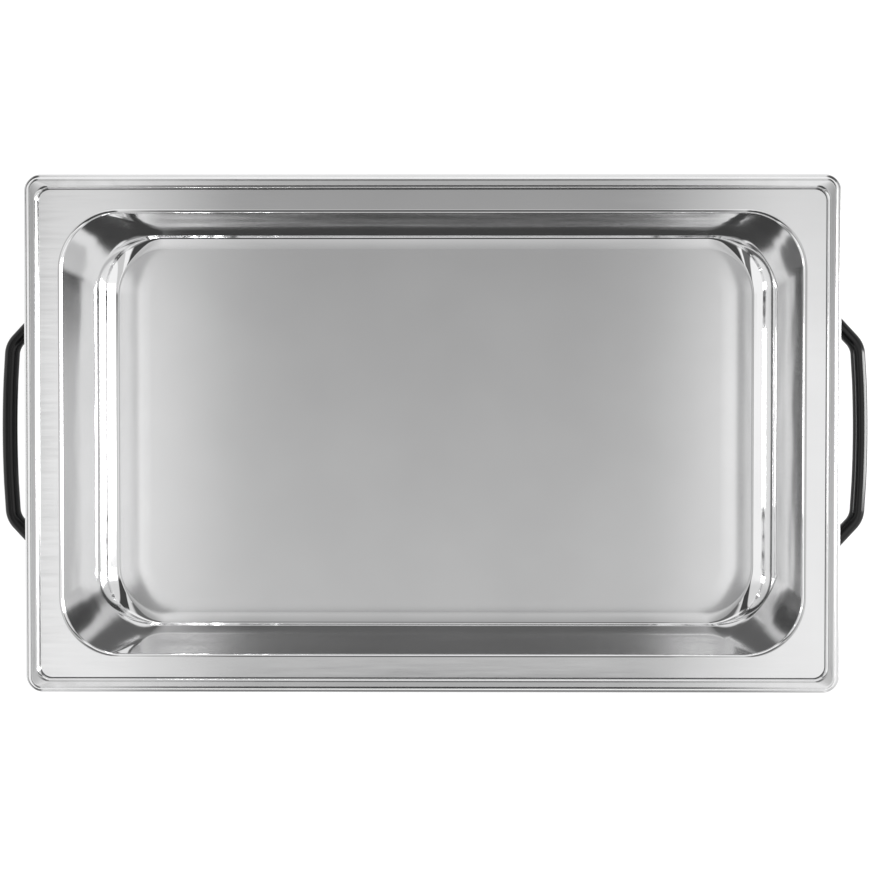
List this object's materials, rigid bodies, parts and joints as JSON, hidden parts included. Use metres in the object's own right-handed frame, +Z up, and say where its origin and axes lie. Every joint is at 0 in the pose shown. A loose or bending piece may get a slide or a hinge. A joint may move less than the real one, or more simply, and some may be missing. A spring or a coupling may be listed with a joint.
{
  "type": "electric buffet warmer",
  "caption": "Rectangular electric buffet warmer: a lift-out steel food pan in a heated water bath with a raised rim, black end handles, a dial, a rocker switch and pilot lamps.",
  "frame": {"origin": "middle of the footprint, on the surface that the feet stand on", "axes": "+Z up, +X along the length towards the right handle, -Y towards the control side"},
  "size_m": [0.622, 0.3514, 0.1692],
  "materials": {
    "pan_steel": "polished walls and satin floor",
    "rim_steel": "polished",
    "housing_steel": "brushed along the length",
    "base_steel": "galvanised sheet",
    "fastener_steel": "zinc plated",
    "element_steel": "oxidised",
    "spreader_aluminium": "mill",
    "copper_tube": "drawn copper",
    "pin_brass": "bright",
    "seal_rubber": "matt silicone",
    "foot_rubber": "matt",
    "handle_black": "gloss",
    "panel_black": "satin with a printed scale",
    "knob_black": "satin gloss",
    "switch_black": "fine texture",
    "rocker_red": "gloss",
    "lens_green": "clear tinted",
    "lens_amber": "clear tinted",
    "thermostat_case": "moulded phenolic",
    "ivory_plastic": "moulded",
    "wire_brown": "silicone sleeve",
    "wire_blue": "silicone sleeve",
    "wire_green": "silicone sleeve"
  },
  "bodies": {
    "base": {"water_pan": "rim_steel", "rim_gasket": "seal_rubber", "top_frame": "base_steel", "housing": "housing_steel", "base_plate": "base_steel", "foot_front_left": "foot_rubber", "foot_front_right": "foot_rubber", "foot_rear_left": "foot_rubber", "foot_rear_right": "foot_rubber", "foot_screws": "fastener_steel", "foot_nuts": "fastener_steel", "base_screws": "fastener_steel", "handle_left": "handle_black", "handle_right": "handle_black", "handle_screws": "fastener_steel", "handle_washers": "fastener_steel", "control_panel": "panel_black", "thermostat": "thermostat_case", "thermostat_screws": "fastener_steel", "sensor_bulb": "copper_tube", "bulb_clip": "spreader_aluminium", "capillary": "copper_tube", "switch_body": "switch_black", "power_lamp_lens": "lens_green", "heat_lamp_lens": "lens_amber", "power_lamp_body": "ivory_plastic", "heat_lamp_body": "ivory_plastic", "lamp_nuts": "fastener_steel", "heat_spreader": "spreader_aluminium", "heating_element": "element_steel", "element_terminals": "ivory_plastic", "clamp_bars": "fastener_steel", "element_studs": "fastener_steel", "stud_nuts": "fastener_steel", "heat_shield": "base_steel", "thermal_cutout": "thermostat_case", "inlet_plate": "panel_black", "inlet_rivets": "fastener_steel", "power_inlet": "switch_black", "inlet_pins": "pin_brass", "terminal_block": "ivory_plastic", "terminal_screws": "fastener_steel", "earth_stud": "fastener_steel", "live_wire": "wire_brown", "neutral_wire": "wire_blue", "earth_wire": "wire_green", "switch_wire": "wire_brown", "thermostat_wire": "wire_brown", "element_live_wire": "wire_brown", "cutout_wire": "wire_blue", "element_neutral_wire": "wire_blue", "lamp_leads": "wire_blue"},
    "pan": {"food_pan": "pan_steel"},
    "dial": {"knob": "knob_black", "spindle": "fastener_steel"},
    "rocker": {"switch_rocker": "rocker_red"}
  },
  "joints": [
    {"name": "pan_lift", "type": "slide", "parent": "base", "child": "pan", "axis": [0, 0, 1], "range_m": [0, 0.15]},
    {"name": "dial_turn", "type": "hinge", "parent": "base", "child": "dial", "pos_m": [0, -0.1592, 0.0447], "axis": [0, 1, 0], "range_deg": [0, 270]},
    {"name": "switch_rock", "type": "hinge", "parent": "base", "child": "rocker", "pos_m": [-0.075, -0.1567, 0.0447], "axis": [-1, 0, 0], "range_deg": [0, 16]}
  ]
}
